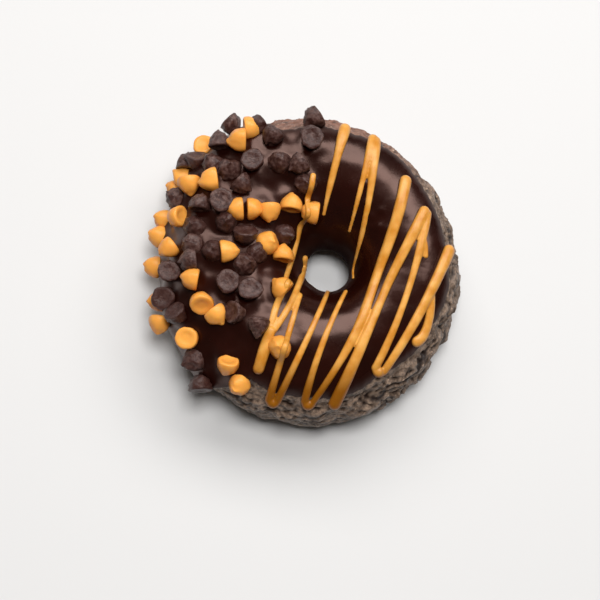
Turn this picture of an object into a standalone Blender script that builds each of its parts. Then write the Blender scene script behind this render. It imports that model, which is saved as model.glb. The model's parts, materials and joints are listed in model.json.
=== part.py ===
"""A baked chocolate doughnut: an iced cake ring with chips on its -X side and a drizzle opposite.

Units are metres and +Z is up. The doughnut rests on Z = 0 with its iced side up. Bearings are counted
anticlockwise from +X. A section angle goes round the ring's cross-section: 0 is the outer rim, 90 degrees
the crest, 180 degrees the throat of the hole, and the rest is the underside.
"""

import math
import random

import bmesh
import bpy
from mathutils import Matrix, Vector, noise

MM = 0.001
DEGREE = math.pi / 180

# The ring's centre is set off from the origin, so that the box round cake and chips is centred on it.
RING_CENTRE = Vector((2.3, -0.3, 0)) * MM

# Cake ring. Its hole lies off centre, and its crest lies between hole and rim.
RIM_RADIUS = 44.0 * MM
HOLE_RADIUS = 8.1 * MM
HOLE_CENTRE = Vector((4.35, 0, 0)) * MM
CREST_CENTRE = Vector((1.1, 2.0, 0)) * MM
RIM_HEIGHT = 11.5 * MM
CREST_HEIGHT = 27.5 * MM
UNDERSIDE_DEPTH = 13 * MM

# The rim's unevenness: how many bulges go round it, how far they stand out, and the bearing of the first.
RIM_BULGES = ((2, 1.4 * MM, 90 * DEGREE), (3, 0.5 * MM, -11 * DEGREE))

# Crags are humps and pits in the bare crumb of the side, longer than they are high, and deepest away from
# the chips. They fade out towards the icing's edge and the underside.
CRAG_DEPTH = 2.4 * MM
CRAG_LENGTH = 6.5 * MM
CRAG_HEIGHT = 4.5 * MM
CRAG_BEARING = -35 * DEGREE
CALM_SHARE = 0.35
FADE_AT_ICING = 12 * DEGREE
FADE_AT_BASE = 3 * MM

# Icing: a skin over the top and into the hole. Its edge rises towards +Y and is wavy, and hangs low where
# the chips are. A wave is its count round the ring, its height and the bearing where it starts.
GAP = 0.3 * MM
ICING_THICKNESS = 1.2 * MM
ICING_EDGE = 50 * DEGREE
ICING_EDGE_RISE = 5 * DEGREE
ICING_EDGE_UNDER_CHIPS = -2 * DEGREE
ICING_EDGE_WAVES = ((5, 2 * DEGREE, 0), (11, 1.2 * DEGREE, -5 * DEGREE))
ICING_END_IN_HOLE = 206 * DEGREE
CHIPS_BEARING = 174 * DEGREE
CHIPS_REACH = (0.68, 0.80)

# Grid of the cake and the icing. The rows at EDGE_STEP and HOLE_STEP are moved to the icing's two ends, and
# the rows up to MOVED_STEPS away from them move with them.
BEARING_STEPS = 56
SECTION_STEPS = 24
EDGE_STEP = 3
HOLE_STEP = 14
MOVED_STEPS = 4

# Chips: a flat base, a round shoulder and a point.
CHIP_SIDES = 7
CHIP_BASE_RADIUS = 3.3 * MM
CHIP_SHOULDER_RADIUS = 2.9 * MM
CHIP_SHOULDER_HEIGHT = 2.6 * MM
CHIP_HEIGHT = 5.3 * MM
CHIP_SIZE_SPREAD = 0.05
CHIP_MIDDLE = 0.4 * CHIP_HEIGHT
CHIP_SINK = 0.95 * MM
CHIP_LEAN = 8 * DEGREE
BASE_UP_SLOPE = 0.35
TIPPED_DIP = 42 * DEGREE
HEADING_SCATTER = 10 * DEGREE
CHIP_SEED = 7

# Rows of chips, from the rim to the hole: the row's section angle, the bearing of its first cell, and its
# cells. A lower case letter is a chocolate chip, an upper case one a peanut butter chip, and a dot an empty
# cell. A chip stands on its base at k and lies base up at o. It lies on its side at a to h, its point to
# one of eight bearings, anticlockwise from +X. At q to x it is tipped over so too, its base half up.
CELL = 0.5 * CHIP_BASE_RADIUS
LYING, TIPPED = "abcdefgh", "qrstuvwx"
CHIP_ROWS = (
    (3, 149, "K.............E"),
    (9, 162, "K..K..........K"),
    (13, 145, "K.........................G"),
    (17, 119, "h.....O...c........................................c"),
    (27, 139, "w......k.................o..........k"),
    (37, 187, "o......x...O"),
    (40, 178, "F........................K"),
    (42, 129, "c........G.....U"),
    (49, 114, "fA........k......................................W"),
    (56, 92, "f............E"),
    (59, 169, "k..k..e..E"),
    (61, 147, "E...c................S"),
    (67, 112, "f........k...........................H"),
    (77, 94, "o..........o........o........k"),
    (80, 219, "q........K"),
    (84, 141, "h......k..........o........g"),
    (88, 115, "k...........E.......A"),
    (96, 106, "f...........................o"),
    (100, 151, "A....w....k"),
    (110, 105, "k........G.......k"),
    (118, 125, "C........K........D"),
    (130, 110, "E......K...C"),
)

# Drizzle: legs of piped peanut butter. Each bends from its start past one point to its end, in millimetres
# from the ring's centre in plan. Half its width at its start, middle and end follows, in millimetres.
DRIZZLE_STEP = 5 * MM
DRIZZLE_CLEARANCE = 0.2 * MM
BALL_FROM = 1.0 * MM
BALL_SIDES = 8
BALL_EXTRA = 0.1 * MM
DRIZZLE_LEGS = (
    ((8.0, 37.2), (4.9, 26.0), (2.4, 14.5), (1.75, 1.10, 0.60)),
    ((15.9, 34.6), (13.2, 22.2), (10.6, 10.2), (1.65, 0.95, 0.50)),
    ((16.7, 34.2), (14.8, 14.8), (12.6, -4.0), (1.50, 1.05, 0.50)),
    ((-1.4, 23.6), (-8.8, -3.4), (-15.7, -31.2), (0.90, 1.05, 1.70)),
    ((-3.6, 3.2), (-4.6, -12.3), (-13.3, -23.0), (1.15, 1.15, 1.15)),
    ((-4.8, -11.0), (-8.4, -24.7), (-12.1, -38.8), (0.75, 0.95, 1.40)),
    ((-10.7, -39.1), (-3.0, -23.9), (4.3, -8.5), (1.40, 1.10, 0.75)),
    ((9.4, -9.4), (0.8, -23.0), (-2.6, -39.6), (0.75, 1.10, 1.45)),
    ((-1.4, -39.9), (19.4, -12.8), (24.7, 22.2), (1.40, 1.45, 1.75)),
    ((5.1, -39.2), (18.4, -12.9), (29.8, 13.6), (1.85, 1.25, 1.65)),
    ((30.6, 13.1), (27.6, -9.2), (16.2, -30.4), (1.45, 1.00, 1.40)),
    ((18.2, -31.0), (29.5, -15.3), (36.4, 3.1), (1.40, 1.30, 1.75)),
    ((31.8, -9.4), (31.0, -20.6), (27.3, -22.6), (1.25, 1.30, 1.00)),
    ((29.6, 6.5), (30.2, 3.7), (30.3, 0.9), (1.00, 1.00, 0.80)),
)
SEARCH_HALVINGS = 24
FINE_STEPS = 100

WELD = 0.001 * MM
CAKE_COLOUR = (0.055, 0.035, 0.028)
CAKE_ROUGHNESS = 0.75
ICING_COLOUR = (0.020, 0.008, 0.006)
ICING_ROUGHNESS = 0.25
SMOOTH_UP_TO = 40 * DEGREE
NAME = "peanut_butter_doughnut"


def rim_radius(bearing):
    """Radius of the uneven rim at a bearing."""
    bulge = sum(height * math.cos(count * (bearing - first)) for count, height, first in RIM_BULGES)
    return RIM_RADIUS + bulge


def circle_at(across):
    """Centre of the circle at a share of the way across the ring, 0 at the throat and 1 at the rim."""
    bend = 2 * CREST_CENTRE - 0.5 * HOLE_CENTRE
    return (1 - across) ** 2 * HOLE_CENTRE + 2 * across * (1 - across) * bend


def radius_at(across, bearing):
    """Radius of that circle at a bearing."""
    return HOLE_RADIUS + (rim_radius(bearing) - HOLE_RADIUS) * across


def skin_point(bearing, section):
    """Point on the cake's smooth skin."""
    across = 0.5 + 0.5 * math.cos(section)
    rise = math.sin(section)
    reach = CREST_HEIGHT - RIM_HEIGHT if rise > 0 else UNDERSIDE_DEPTH
    height = max(0.0, RIM_HEIGHT + reach * rise)
    out = Vector((math.cos(bearing), math.sin(bearing), 0))
    return RING_CENTRE + circle_at(across) + radius_at(across, bearing) * out + Vector((0, 0, height))


def skin_normal(bearing, section):
    """Outward direction of the smooth skin, from two short steps on it."""
    step = 0.5 * DEGREE
    along = skin_point(bearing + step, section) - skin_point(bearing - step, section)
    up = skin_point(bearing, section + step) - skin_point(bearing, section - step)
    return along.cross(up).normalized()


def lifted_point(bearing, section, lift):
    """Point that stands off the smooth skin by lift."""
    return skin_point(bearing, section) + lift * skin_normal(bearing, section)


def nearness(bearing, centre):
    """1 at the centre bearing, falling smoothly to 0 opposite."""
    return 0.5 + 0.5 * math.cos(bearing - centre)


def icing_edge(bearing):
    """Section angle where the icing ends on the side: low under the chips, and wavy."""
    begins, full = CHIPS_REACH
    low = max(0.0, min(1.0, (nearness(bearing, CHIPS_BEARING) - begins) / (full - begins)))
    edge = ICING_EDGE + ICING_EDGE_RISE * math.sin(bearing)
    edge += sum(height * math.sin(count * (bearing - start)) for count, height, start in ICING_EDGE_WAVES)
    return edge + (ICING_EDGE_UNDER_CHIPS - edge) * low


def grid_section(bearing, section):
    """Section angle of a grid row, moved near the icing's edge so that one row follows it."""
    step = 2 * math.pi / SECTION_STEPS
    row_of_edge = EDGE_STEP * step
    row_of_end = HOLE_STEP * step
    near_edge = max(0.0, 1 - abs(section - row_of_edge) / (MOVED_STEPS * step))
    near_end = max(0.0, 1 - abs(section - row_of_end) / (MOVED_STEPS * step))
    moved_to_edge = (icing_edge(bearing) - row_of_edge) * near_edge
    moved_to_end = (ICING_END_IN_HOLE - row_of_end) * near_end
    return section + moved_to_edge + moved_to_end


def crag(bearing, section, point):
    """How far the crumb stands out at a point of the outer side, negative in a pit."""
    if section > 0.5 * math.pi:
        return 0.0
    below_icing = (icing_edge(bearing) - section) / FADE_AT_ICING
    above_base = point.z / FADE_AT_BASE
    fade = max(0.0, min(1.0, below_icing)) * max(0.0, min(1.0, above_base))
    open_side = CALM_SHARE + (1 - CALM_SHARE) * nearness(bearing, CRAG_BEARING) ** 2
    place = Vector((point.x / CRAG_LENGTH, point.y / CRAG_LENGTH, point.z / CRAG_HEIGHT))
    return CRAG_DEPTH * open_side * fade * noise.noise(place)


def move_to(collection, item):
    """Put an object in one collection only."""
    for holder in list(item.users_collection):
        holder.objects.unlink(item)
    collection.objects.link(item)


def ring_mesh(name):
    """Plain torus with the grid of the ring, and its major radius. Its vertices are moved afterwards."""
    major, minor = 0.5 * (RIM_RADIUS + HOLE_RADIUS), 0.5 * (RIM_RADIUS - HOLE_RADIUS)
    bpy.ops.mesh.primitive_torus_add(
        major_segments=BEARING_STEPS,
        minor_segments=SECTION_STEPS,
        major_radius=major,
        minor_radius=minor,
    )
    ring = bpy.context.object
    ring.name = name
    return ring, major


def grid_place(vertex, major):
    """Bearing and section angle of a vertex of the plain torus, the latter from -90 to 270 degrees."""
    bearing = math.atan2(vertex.co.y, vertex.co.x)
    section = math.atan2(vertex.co.z, math.hypot(vertex.co.x, vertex.co.y) - major)
    if section < -0.5 * math.pi - 0.001:
        section += 2 * math.pi
    return bearing, section


def make_cake(materials):
    """The cake ring, with crags in its bare side."""
    cake, major = ring_mesh("chocolate_cake_ring")
    for vertex in cake.data.vertices:
        bearing, section = grid_place(vertex, major)
        section = grid_section(bearing, section)
        relief = crag(bearing, section, skin_point(bearing, section))
        vertex.co = lifted_point(bearing, section, relief)
    cake.data.materials.append(materials["cake"])
    return cake


def make_icing(materials):
    """The icing as an open skin just off the cake, thickened outwards."""
    icing, major = ring_mesh("chocolate_icing")
    step = 2 * math.pi / SECTION_STEPS
    first, last = (EDGE_STEP - 0.5) * step, (HOLE_STEP + 0.5) * step
    mesh = bmesh.new()
    mesh.from_mesh(icing.data)
    rows = {vertex: grid_place(vertex, major) for vertex in mesh.verts}
    bare = [face for face in mesh.faces if not all(first < rows[v][1] < last for v in face.verts)]
    for vertex, (bearing, section) in rows.items():
        vertex.co = lifted_point(bearing, grid_section(bearing, section), GAP)
    bmesh.ops.delete(mesh, geom=bare, context="FACES")
    mesh.to_mesh(icing.data)
    mesh.free()
    thicken = icing.modifiers.new("thickness", "SOLIDIFY")
    thicken.thickness = ICING_THICKNESS
    thicken.offset = 1
    thicken.use_even_offset = True
    icing.data.materials.append(materials["icing"])
    return icing


def solid_of(source, name, collection):
    """Plain mesh object of what an object's modifiers or bevel make. The source is removed."""
    evaluated = source.evaluated_get(bpy.context.evaluated_depsgraph_get())
    mesh = bpy.data.meshes.new_from_object(evaluated)
    welding = bmesh.new()
    welding.from_mesh(mesh)
    bmesh.ops.remove_doubles(welding, verts=welding.verts, dist=WELD)
    welding.to_mesh(mesh)
    welding.free()
    solid = bpy.data.objects.new(name, mesh)
    solid.matrix_world = source.matrix_world
    collection.objects.link(solid)
    bpy.data.objects.remove(source)
    return solid


def chip_mesh():
    """A chip's shape, turned from its profile: base on Z = 0, point up."""
    profile = (
        (0, CHIP_HEIGHT),
        (CHIP_SHOULDER_RADIUS, CHIP_SHOULDER_HEIGHT),
        (CHIP_BASE_RADIUS, 0),
        (0, 0),
    )
    mesh = bpy.data.meshes.new("chip")
    points = [(radius, 0, height) for radius, height in profile]
    mesh.from_pydata(points, [(k, k + 1) for k in range(len(points) - 1)], [])
    outline = bpy.data.objects.new("chip_profile", mesh)
    bpy.context.scene.collection.objects.link(outline)
    turn = outline.modifiers.new("turned", "SCREW")
    turn.steps = turn.render_steps = CHIP_SIDES
    turn.use_merge_vertices = True
    turn.merge_threshold = WELD
    solid = solid_of(outline, "chip_shape", bpy.context.scene.collection)
    shape = solid.data
    bpy.data.objects.remove(solid)
    return shape


def pointing(direction, turn):
    """Rotation whose Z axis is direction, turned about it."""
    return direction.to_track_quat("Z", "Y").to_matrix().to_4x4() @ Matrix.Rotation(turn, 4, "Z")


def chip_axis(cell, normal, draw):
    """Direction of a chip's point, for the way that it lies on a slope."""
    chance = Vector([draw.uniform(-1, 1) for _ in range(3)]) * math.tan(CHIP_LEAN)
    if cell == "k":
        return (normal + chance).normalized()
    if cell == "o":
        return (chance - BASE_UP_SLOPE * normal - Vector((0, 0, 1))).normalized()
    tipped = cell in TIPPED
    heading = (TIPPED if tipped else LYING).index(cell) * 45 * DEGREE
    heading += draw.uniform(-1, 1) * HEADING_SCATTER
    dip = TIPPED_DIP if tipped else 0
    level = math.cos(dip)
    return Vector((level * math.cos(heading), level * math.sin(heading), -math.sin(dip)))


def seat_height(axis, normal):
    """Height of a full-size chip's middle over a slope that the chip touches."""
    down = -axis.dot(normal)
    side = math.sqrt(max(0.0, 1 - down * down))
    outline = ((0, CHIP_BASE_RADIUS), (CHIP_SHOULDER_HEIGHT, CHIP_SHOULDER_RADIUS), (CHIP_HEIGHT, 0))
    return max((height - CHIP_MIDDLE) * down + radius * side for height, radius in outline)


def chip_places():
    """Kind and matrix of every chip, row by row."""
    draw = random.Random(CHIP_SEED)
    for section_degrees, first_degrees, cells in CHIP_ROWS:
        section = section_degrees * DEGREE
        row_radius = radius_at(0.5 + 0.5 * math.cos(section), first_degrees * DEGREE)
        for column, cell in enumerate(cells):
            if cell == ".":
                continue
            bearing = first_degrees * DEGREE + column * CELL / row_radius
            normal = skin_normal(bearing, section)
            axis = chip_axis(cell.lower(), normal, draw)
            size = 1 + draw.uniform(-1, 1) * CHIP_SIZE_SPREAD
            turn = draw.uniform(0, 2 * math.pi)
            height = GAP + ICING_THICKNESS + size * seat_height(axis, normal) - CHIP_SINK
            base = lifted_point(bearing, section, height) - CHIP_MIDDLE * size * axis
            kind = "peanut_butter" if cell.isupper() else "chocolate"
            yield kind, Matrix.Translation(base) @ pointing(axis, turn) @ Matrix.Scale(size, 4)


def make_chips(toppings):
    """Every chip as its own solid, sunk a little into the icing."""
    shape = chip_mesh()
    for number, (kind, matrix) in enumerate(chip_places()):
        chip = bpy.data.objects.new(f"{kind}_chip_{number}", shape)
        chip.matrix_world = matrix
        toppings.objects.link(chip)


def place_below(x, y):
    """Bearing and section angle of the skin's upper side under a plan point."""
    plan = Vector((x, y, 0))
    low, high = 0.0, 1.0
    for _ in range(SEARCH_HALVINGS):
        across = 0.5 * (low + high)
        away = plan - circle_at(across)
        bearing = math.atan2(away.y, away.x)
        if away.length > radius_at(across, bearing):
            low = across
        else:
            high = across
    return bearing, math.acos(2 * across - 1)


def strand_radius(share, radii):
    """Half the strand's width at a share of its length."""
    first, middle, last = (radius * MM for radius in radii)
    near, far, along = (first, middle, 2 * share) if share < 0.5 else (middle, last, 2 * share - 1)
    return near + (far - near) * along * along * (3 - 2 * along)


def strand_line(start, bend, end, radii):
    """Centre points and radii of a strand on the icing, in even steps over the skin."""
    start, bend, end = (Vector(place) * MM for place in (start, bend, end))
    shares = [k / FINE_STEPS for k in range(FINE_STEPS + 1)]
    plan = [(1 - s) ** 2 * start + 2 * s * (1 - s) * bend + s**2 * end for s in shares]
    places = [place_below(*point) for point in plan]
    points = [skin_point(*place) for place in places]
    along = [0.0]
    for before, after in zip(points, points[1:]):
        along.append(along[-1] + (after - before).length)
    count = max(2, round(along[-1] / DRIZZLE_STEP))
    line = []
    for step in range(count + 1):
        nearest = min(range(len(along)), key=lambda k: abs(along[k] - along[-1] * step / count))
        radius = strand_radius(step / count, radii)
        lift = GAP + max(ICING_THICKNESS, radius + DRIZZLE_CLEARANCE)
        line.append((lifted_point(*places[nearest], lift), radius))
    return line


def make_drizzle(toppings):
    """Each leg as a tube half sunk in the icing, with a ball at each thick end."""
    for number, leg in enumerate(DRIZZLE_LEGS):
        line = strand_line(*leg)
        curve = bpy.data.curves.new("strand", "CURVE")
        curve.dimensions = "3D"
        curve.bevel_depth = 1
        curve.bevel_resolution = 2
        curve.use_fill_caps = True
        spline = curve.splines.new("POLY")
        spline.points.add(len(line) - 1)
        for point, (place, radius) in zip(spline.points, line):
            point.co = (*place, 1)
            point.radius = radius
        strand = bpy.data.objects.new(f"drizzle_line_{number}", curve)
        bpy.context.scene.collection.objects.link(strand)
        bpy.context.view_layer.update()
        solid_of(strand, f"drizzle_{number}", toppings)
        for place, radius in (line[0], line[-1]):
            if radius < BALL_FROM:
                continue
            bpy.ops.mesh.primitive_uv_sphere_add(
                segments=BALL_SIDES, ring_count=BALL_SIDES // 2, radius=radius + BALL_EXTRA, location=place
            )
            bpy.context.object.name = f"drizzle_end_{number}"
            move_to(toppings, bpy.context.object)


def fuse(icing, toppings):
    """One solid of the icing and all that lies on it."""
    join = icing.modifiers.new("fused", "BOOLEAN")
    join.operation = "UNION"
    join.operand_type = "COLLECTION"
    join.collection = toppings
    join.solver = "MANIFOLD"
    bpy.context.view_layer.update()
    fused = solid_of(icing, "icing_chips_and_drizzle", bpy.data.collections[NAME])
    for topping in list(toppings.objects):
        bpy.data.objects.remove(topping)
    bpy.data.collections.remove(toppings)
    return fused


def material(name, colour, roughness):
    """Principled material of one colour."""
    made = bpy.data.materials.new(name)
    made.use_nodes = True
    shader = made.node_tree.nodes["Principled BSDF"]
    shader.inputs["Base Color"].default_value = (*colour, 1)
    shader.inputs["Roughness"].default_value = roughness
    shader.inputs["Metallic"].default_value = 0
    return made


def main():
    for old in list(bpy.data.objects):
        bpy.data.objects.remove(old)
    doughnut = bpy.data.collections.new(NAME)
    toppings = bpy.data.collections.new("toppings")
    bpy.context.scene.collection.children.link(doughnut)
    bpy.context.scene.collection.children.link(toppings)
    materials = {
        "cake": material("chocolate_cake", CAKE_COLOUR, CAKE_ROUGHNESS),
        "icing": material("chocolate_icing", ICING_COLOUR, ICING_ROUGHNESS),
    }
    cake = make_cake(materials)
    icing = make_icing(materials)
    make_chips(toppings)
    make_drizzle(toppings)
    fused = fuse(icing, toppings)
    for node in (cake, fused):
        move_to(doughnut, node)
        node.data.shade_smooth()
        node.data.set_sharp_from_angle(angle=SMOOTH_UP_TO)


main()
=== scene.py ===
"""An iced chocolate ring doughnut, with chips crowded on one side and a peanut butter drizzle on the other.

Units are metres and +Z is up. Bearings are counted anticlockwise from +X. A section angle goes round the
ring's cross-section: 0 is the outer rim, 90 degrees the crest, 180 degrees the throat of the hole, and the
rest is the underside.
"""

import json
import math
import random

import bpy
import numpy as np
from mathutils import Matrix, Vector, noise

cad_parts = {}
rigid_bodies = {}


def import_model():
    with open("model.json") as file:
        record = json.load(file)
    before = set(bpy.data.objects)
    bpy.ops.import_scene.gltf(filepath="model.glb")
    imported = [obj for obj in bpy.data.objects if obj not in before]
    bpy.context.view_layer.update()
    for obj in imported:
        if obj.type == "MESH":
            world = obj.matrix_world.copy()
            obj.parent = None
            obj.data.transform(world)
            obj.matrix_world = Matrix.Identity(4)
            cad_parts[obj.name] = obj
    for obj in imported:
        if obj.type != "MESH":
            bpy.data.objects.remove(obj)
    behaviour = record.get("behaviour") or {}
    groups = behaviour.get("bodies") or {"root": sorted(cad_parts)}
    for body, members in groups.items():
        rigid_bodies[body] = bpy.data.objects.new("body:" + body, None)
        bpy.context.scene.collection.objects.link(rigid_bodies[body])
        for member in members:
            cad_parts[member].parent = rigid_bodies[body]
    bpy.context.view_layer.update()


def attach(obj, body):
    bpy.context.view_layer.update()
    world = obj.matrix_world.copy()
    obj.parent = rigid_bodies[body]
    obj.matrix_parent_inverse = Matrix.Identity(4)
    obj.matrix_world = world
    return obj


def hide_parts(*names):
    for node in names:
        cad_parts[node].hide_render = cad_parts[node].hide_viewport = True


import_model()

bl_info = {
    "name": "Peanut Butter Doughnut",
    "version": (1, 0, 0),
    "blender": (4, 5, 0),
    "location": "View3D > Sidebar > Doughnut",
    "description": "Builds an iced doughnut with chips and a drizzle, and a plain studio round it",
    "category": "Add Mesh",
}

MM = 0.001
DEGREE = math.pi / 180

# The cake ring. Its hole lies off centre, and its crest lies between hole and rim.
RING_CENTRE = np.array((2.3, -0.3, 0)) * MM
HOLE_CENTRE = np.array((4.35, 0, 0)) * MM
CREST_CENTRE = np.array((1.1, 2.0, 0)) * MM
RIM_HEIGHT = 11.5 * MM
UNDERSIDE_DEPTH = 13 * MM
RIM_BULGES = ((2, 1.4 * MM, 90 * DEGREE), (3, 0.5 * MM, -11 * DEGREE))

# Broad crags of the bare side, longer than they are high and deepest away from the chips.
CRAG_DEPTH = 2.4 * MM
CRAG_LENGTH = 6.5 * MM
CRAG_HEIGHT = 4.5 * MM
CRAG_BEARING = -35 * DEGREE
CALM_SHARE = 0.35
FADE_AT_ICING = 12 * DEGREE
FADE_AT_BASE = 3 * MM

# Finer relief of the bare side: torn plates, two sizes of sharp ridges that run round the ring, and open
# pores. Each has a length round the ring, a height across it and a depth. Away from CRAG_BEARING it is
# calmer.
PLATE_LENGTH, PLATE_HEIGHT, PLATE_STEP = 5.5 * MM, 3.0 * MM, 0.9 * MM
RIDGE_LENGTH, RIDGE_HEIGHT, RIDGE_DEPTH = 4.5 * MM, 1.4 * MM, 0.45 * MM
SCALE_LENGTH, SCALE_HEIGHT, SCALE_DEPTH = 1.8 * MM, 0.8 * MM, 0.22 * MM
PORE_LENGTH, PORE_HEIGHT, PORE_DEPTH = 1.7 * MM, 1.1 * MM, 0.8 * MM
PORE_FROM, PORE_RANGE = 0.12, 0.25
CREST_SLOPE = 2.4
# How deep between two ridges the crumb's painted shade starts, and how fast and where it darkens between
# two scales.
RIDGE_DARK_FROM = 0.55
SCALE_DARKENS, SCALE_DARK_FROM = 1.6, 0.35
WOBBLE_LENGTH, WOBBLE_HEIGHT = 4 * MM, 1.0 * MM
CALM_SHARE_OF_CRUMB = 0.4
CRUMB_UNDER_ICING, CRUMB_FADE = 2 * DEGREE, 10 * DEGREE
CRUMB_FADE_AT_BASE = 1.5 * MM
# The fine relief is sunk by CRUMB_SINK, and no part of the relief stands out more than CRUMB_REACH.
CRUMB_SINK = 0.6 * MM
CRUMB_REACH = 0.55 * MM

# The cake's grid: its columns, and its rows from one section angle to the next, in degrees. They are close
# where the crumb is bare and wide where the icing covers it.
CAKE_COLUMNS = 620
BARE_ROWS = 104
CAKE_ROWS = ((-64, 58, BARE_ROWS), (58, 206, 22), (206, 296, 18))

# The icing's two ends, its edge, wavy and higher on the +Y side, and how it lies.
GAP = 0.3 * MM
ICING_EDGE = 50 * DEGREE
ICING_EDGE_RISE = 5 * DEGREE
ICING_EDGE_UNDER_CHIPS = -2 * DEGREE
ICING_EDGE_WAVES = ((5, 2 * DEGREE, 0), (11, 1.2 * DEGREE, -5 * DEGREE))
ICING_EDGE_FRAY, FRAY_FINENESS = 1.8 * DEGREE, 25
ICING_SAG, SAG_BEARING, SAG_SHARPNESS = 5 * DEGREE, 35 * DEGREE, 4
ICING_THINS_FROM, ICING_THINS_IN_HOLE, ICING_EDGE_ROUNDNESS = 0.06, 0.03, 0.75
ICING_END_IN_HOLE = 206 * DEGREE
ICING_END_LIFT, ICING_BACK_SINK = 0.02 * MM, 0.1 * MM
CHIPS_BEARING = 174 * DEGREE
CHIPS_REACH = (0.68, 0.80)
WAVE_LENGTH, WAVE_HEIGHT = 11 * MM, 0.30 * MM
DIMPLE_LENGTH, DIMPLE_HEIGHT = 4.5 * MM, 0.10 * MM
DIMPLES_AT_CHIPS = 8
CLIMB_FROM, CLIMB_WIDTH, CLIMB_HEIGHT = 0.9, 1.4 * MM, 0.85 * MM
# How dull the icing is: by DULL_IN_HOLE in the hole, growing from DULL_FROM to DULL_FULL, by DULL_AT_CHIPS
# between the chips, and by 1 at its edge, fading over DULL_EDGE_FADE until DULL_EDGE_END from the edge.
DULL_IN_HOLE, DULL_FROM, DULL_FULL = 2, 145 * DEGREE, 175 * DEGREE
DULL_AT_CHIPS = 0.25
DULL_EDGE_FADE, DULL_EDGE_END = 8 * DEGREE, 12.8 * DEGREE
ICING_COLUMNS, ICING_ROWS, ICING_BACK_ROWS = 440, 150, 30

# Lumps under the icing, where crumb or air is caught: bearing and section angle, height and radius in mm.
ICING_LUMPS = (
    (49, 112, 0.45, 1.3),
    (58, 100, 0.25, 1.0),
    (40, 118, 0.35, 1.5),
    (33, 124, 0.40, 1.2),
    (26, 116, 0.35, 1.4),
    (36, 106, 0.25, 1.1),
    (18, 108, 0.30, 1.6),
)

# Chips. Their rows run from the rim to the hole: the row's section angle, the bearing of its first cell,
# and its cells. A lower case letter is a chocolate chip, an upper case one a peanut butter chip, and a dot
# an empty cell. A chip stands on its base at k and lies base up at o. It lies on its side at a to h, its
# point to one of eight bearings, anticlockwise from +X. At q to x it is tipped over so too, with its base
# half up.
CHIP_BASE_RADIUS = 3.3 * MM
CHIP_SHOULDER_RADIUS = 2.9 * MM
CHIP_SHOULDER_HEIGHT = 2.6 * MM
CHIP_HEIGHT = 5.3 * MM
CHIP_SIZE_SPREAD = 0.05
CHIP_MIDDLE = 0.4 * CHIP_HEIGHT
CHIP_SINK = 0.95 * MM
CHIP_LEAN = 8 * DEGREE
BASE_UP_SLOPE = 0.35
TIPPED_DIP = 42 * DEGREE
HEADING_SCATTER = 10 * DEGREE
CHIP_SEED = 7
CELL = 0.5 * CHIP_BASE_RADIUS
LYING, TIPPED = "abcdefgh", "qrstuvwx"
CHIP_ROWS = (
    (3, 149, "K.............E"),
    (9, 162, "K..K..........K"),
    (13, 145, "K.........................G"),
    (17, 119, "h.....O...c........................................c"),
    (27, 139, "w......k.................o..........k"),
    (37, 187, "o......x...O"),
    (40, 178, "F........................K"),
    (42, 129, "c........G.....U"),
    (49, 114, "fA........k......................................W"),
    (56, 92, "f............E"),
    (59, 169, "k..k..e..E"),
    (61, 147, "E...c................S"),
    (67, 112, "f........k...........................H"),
    (77, 94, "o..........o........o........k"),
    (80, 219, "q........K"),
    (84, 141, "h......k..........o........g"),
    (88, 115, "k...........E.......A"),
    (96, 106, "f...........................o"),
    (100, 151, "A....w....k"),
    (110, 105, "k........G.......k"),
    (118, 125, "C........K........D"),
    (130, 110, "E......k...C"),
)

# A chip's outline from the middle of its base to its point, as shares of its base radius and its height.
# The base is dished, as it is where the chip was dropped on a belt. Chocolate comes to a point with a small
# teat, and peanut butter slumps to a dome.
DISHED_BASE = ((0.00, 0.070), (0.24, 0.065), (0.44, 0.052), (0.54, 0.022), (0.68, 0.008), (0.84, 0.000))
CHIP_OUTLINES = {
    "chocolate": (
        *DISHED_BASE,
        (0.94, 0.012),
        (0.99, 0.050),
        (1.00, 0.11),
        (0.99, 0.21),
        (0.96, 0.31),
        (0.92, 0.40),
        (0.86, 0.49),
        (0.77, 0.58),
        (0.65, 0.67),
        (0.51, 0.75),
        (0.37, 0.82),
        (0.25, 0.87),
        (0.16, 0.92),
        (0.10, 0.97),
        (0.00, 1.00),
    ),
    "peanut_butter": (
        *DISHED_BASE,
        (0.93, 0.020),
        (0.975, 0.060),
        (1.00, 0.13),
        (1.00, 0.23),
        (0.98, 0.33),
        (0.93, 0.43),
        (0.87, 0.53),
        (0.78, 0.62),
        (0.67, 0.71),
        (0.54, 0.79),
        (0.39, 0.86),
        (0.26, 0.91),
        (0.16, 0.95),
        (0.08, 0.985),
        (0.00, 1.00),
    ),
}
# How uneven a chip's side is, and how deep the rings are that its drop left in it, as shares of its radius.
# Its lumps come in two finenesses, each with its share.
CHIP_UNEVEN = {"chocolate": 0.18, "peanut_butter": 0.10}
CHIP_LUMPS = ((1.6, 1.0), (4.5, 0.45))
CHIP_RINGS = {"chocolate": 0.030, "peanut_butter": 0.004}
RING_FINENESS = 26
# A chip's point leans by up to CHIP_BEND of its size, from BEND_FROM of its height up. One side of the chip
# may be pressed.
CHIP_BEND, BEND_FROM = 0.22, 0.3
CHIP_PRESS = (0.9, 1.05)
CHIP_SIDES = 28
CHIP_SHAPES = 5

# Drizzle: legs of piped peanut butter. Each bends from its start past one point to its end, in millimetres
# from the ring's centre in plan. Half its width at its start, middle and end follows, in millimetres.
DRIZZLE_CLEARANCE = 0.1 * MM
DRIZZLE_STEP = 0.35 * MM
BEAD_LENGTH, BEAD_SHARE = 5.0 * MM, 0.05
STRAND_FLATNESS, STRAND_SIDES = 0.78, 16
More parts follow.
